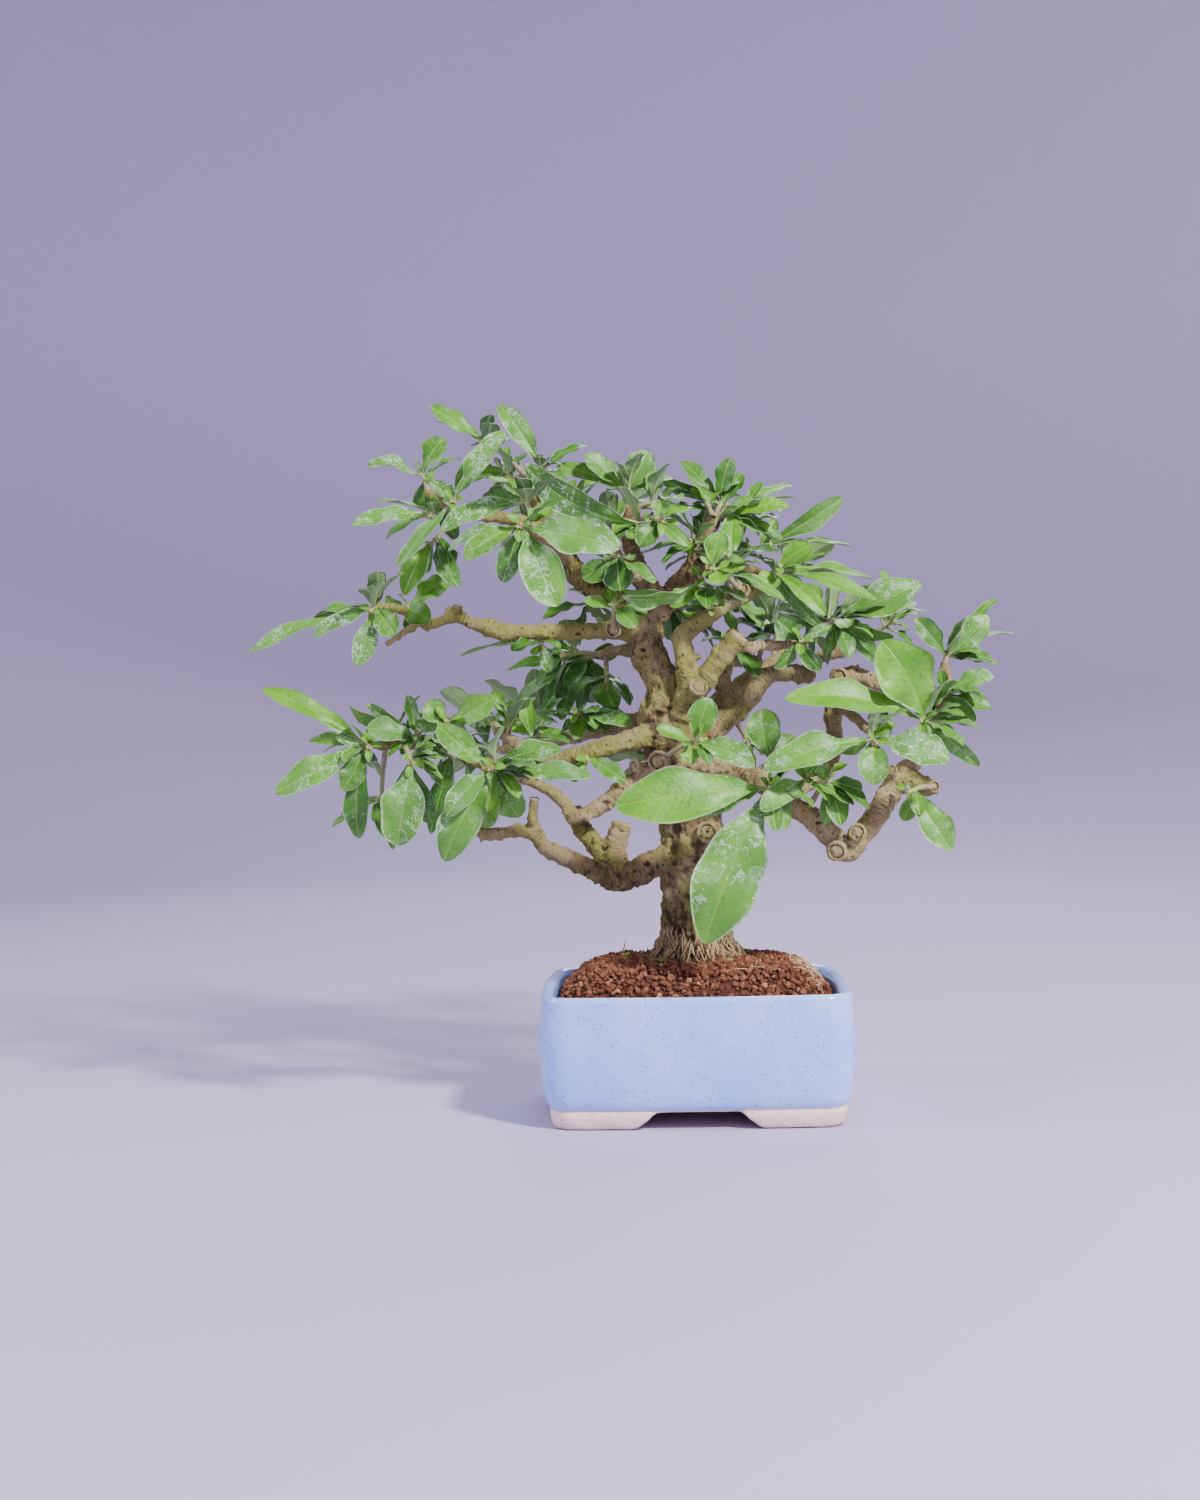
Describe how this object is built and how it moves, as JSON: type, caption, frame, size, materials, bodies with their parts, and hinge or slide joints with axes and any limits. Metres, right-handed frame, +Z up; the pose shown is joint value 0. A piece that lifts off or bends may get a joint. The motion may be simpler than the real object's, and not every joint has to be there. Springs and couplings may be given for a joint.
{
  "type": "japanese privet bonsai",
  "caption": "Small informal-upright broadleaf bonsai with curving branches and leafy sprays, standing in a mounded filling of clay grains in a rectangular glazed pot on feet.",
  "frame": {"origin": "on the surface that the pot stands on, under the middle of the whole plant's box", "axes": "+X to the right as seen from the pot's front, along its long side, +Y to the back, +Z up"},
  "size_m": [0.3346, 0.1668, 0.3117],
  "materials": {
    "glaze": "gloss light blue glaze over fired clay, bare on the feet",
    "net": "matte moulded net",
    "akadama": "rough red-brown baked clay grains",
    "bark": "rough bark with algae and ringed cuts",
    "leaf": "semi-gloss living leaf"
  },
  "bodies": {
    "root": {"drain_mesh_left": "net", "drain_mesh_right": "net", "pot": "glaze", "soil": "akadama", "spray_banded": "leaf", "spray_crown_blades": "leaf", "spray_crown_bud": "leaf", "spray_crown_dark": "leaf", "spray_crown_fan": "leaf", "spray_crown_peak": "leaf", "spray_far_huge": "leaf", "spray_far_left": "leaf", "spray_far_left_low": "leaf", "spray_far_middle": "leaf", "spray_far_top": "leaf", "spray_fork_right": "leaf", "spray_fork_sprig": "leaf", "spray_hanging": "leaf", "spray_hanging_low": "leaf", "spray_inner_left": "leaf", "spray_knuckle_sprig": "leaf", "spray_left_bright": "leaf", "spray_left_giant": "leaf", "spray_left_grey": "leaf", "spray_left_hanging": "leaf", "spray_left_inner": "leaf", "spray_left_pair": "leaf", "spray_left_rear": "leaf", "spray_left_star": "leaf", "spray_low_giant": "leaf", "spray_low_leafy": "leaf", "spray_low_right_pair": "leaf", "spray_low_sprig": "leaf", "spray_neck_cup": "leaf", "spray_neck_sprig": "leaf", "spray_pink_stem": "leaf", "spray_rear_1": "leaf", "spray_rear_2": "leaf", "spray_rear_3": "leaf", "spray_rear_4": "leaf", "spray_rear_5": "leaf", "spray_rear_6": "leaf", "spray_rear_7": "leaf", "spray_rear_8": "leaf", "spray_right_bright": "leaf", "spray_right_front": "leaf", "spray_right_grey": "leaf", "spray_right_star": "leaf", "spray_right_top": "leaf", "spray_star": "leaf", "spray_star_upper": "leaf", "spray_tip_inner": "leaf", "spray_tip_left": "leaf", "spray_top_arch": "leaf", "spray_top_left_star": "leaf", "spray_top_long": "leaf", "spray_top_sickle": "leaf", "spray_top_sprig": "leaf", "spray_under_branch": "leaf", "trunk": "bark"}
  },
  "joints": []
}
